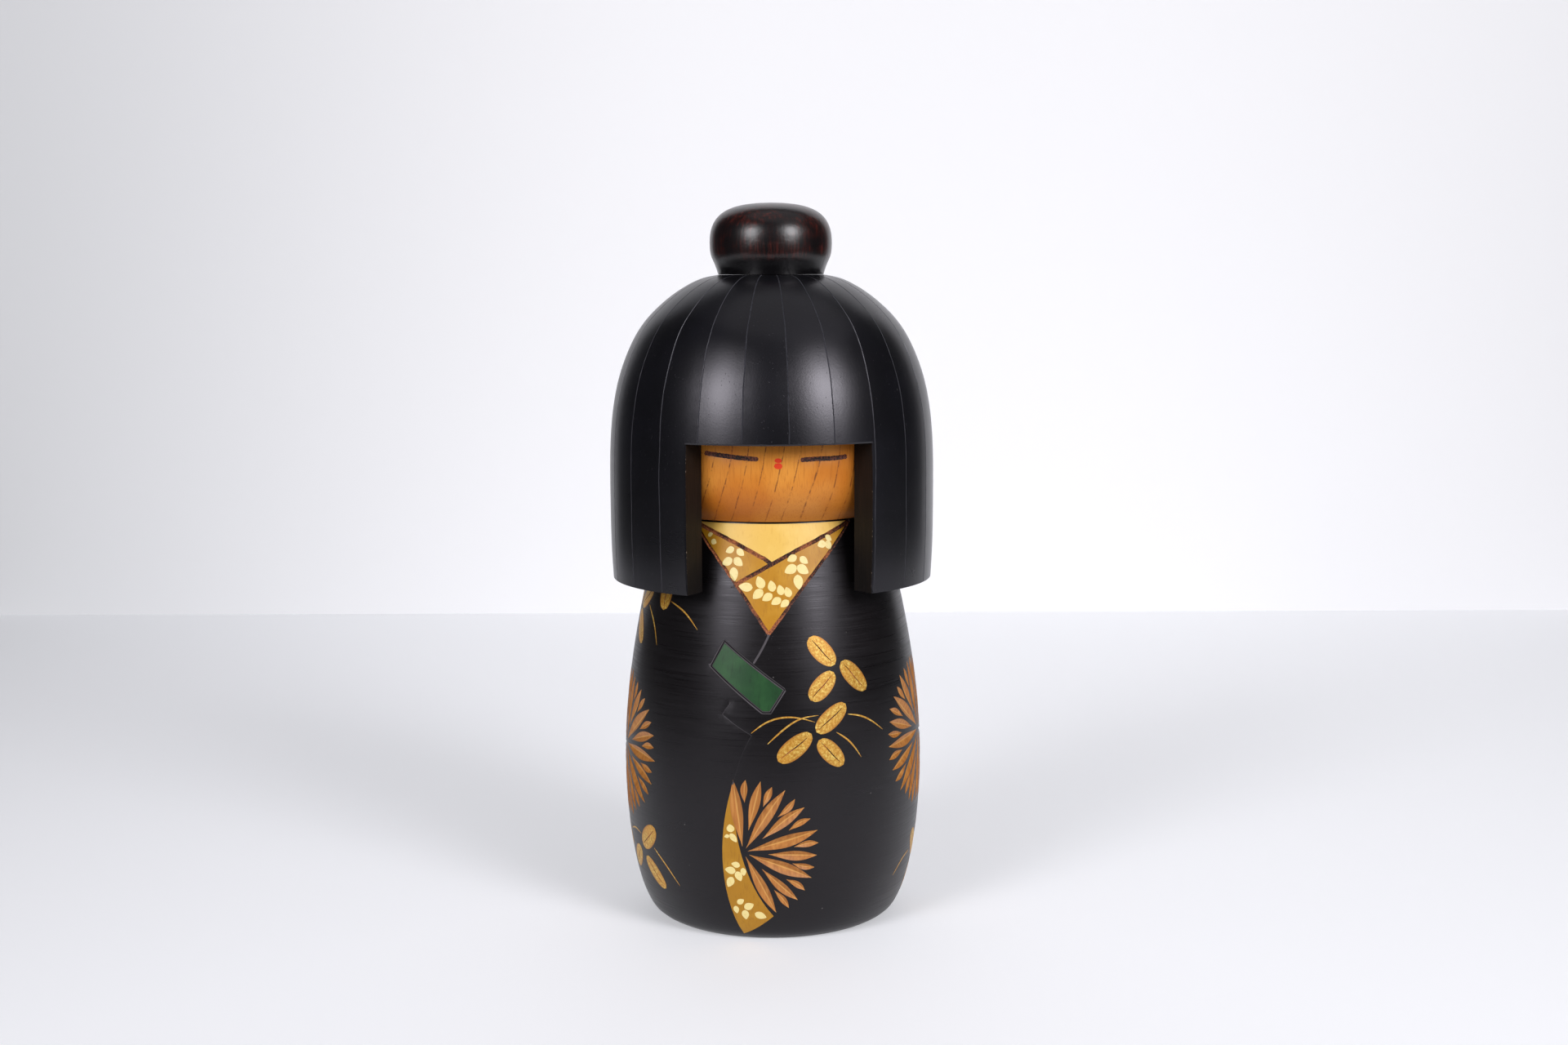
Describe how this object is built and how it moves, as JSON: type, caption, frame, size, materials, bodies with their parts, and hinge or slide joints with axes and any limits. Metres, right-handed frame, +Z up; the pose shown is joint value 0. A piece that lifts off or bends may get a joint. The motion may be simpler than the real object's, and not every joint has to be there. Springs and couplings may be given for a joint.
{
  "type": "kokeshi doll",
  "caption": "Turned wooden kokeshi doll: a robed trunk, a head that turns on a neck dowel, a hollow bell of hair with a face window, and a bun.",
  "frame": {"origin": "centre of the round base, on the surface the doll stands on", "axes": "+Z up along the turning axis, -Y the way the trunk faces, +X towards the doll's left"},
  "size_m": [0.1044, 0.104, 0.23],
  "materials": {
    "robe_lacquer": "black lacquer on turned wood, satin, carved and painted",
    "face_wood": "amber stained wood, satin, vertical grain",
    "hair_lacquer": "black lacquer on turned wood, satin, engraved lines",
    "bun_lacquer": "dark red-brown lacquer on turned wood, gloss",
    "dowel_wood": "bare birch dowel"
  },
  "bodies": {
    "trunk_assembly": {"trunk": "robe_lacquer", "neck_dowel": "dowel_wood"},
    "head_assembly": {"head": "face_wood", "hair_cap": "hair_lacquer", "bun": "bun_lacquer", "bun_dowel": "dowel_wood"}
  },
  "joints": [
    {"name": "head_turn", "type": "hinge", "parent": "trunk_assembly", "child": "head_assembly", "pos_m": [0, 0, 0.1315], "axis": [0, 0, 1], "continuous": true}
  ]
}
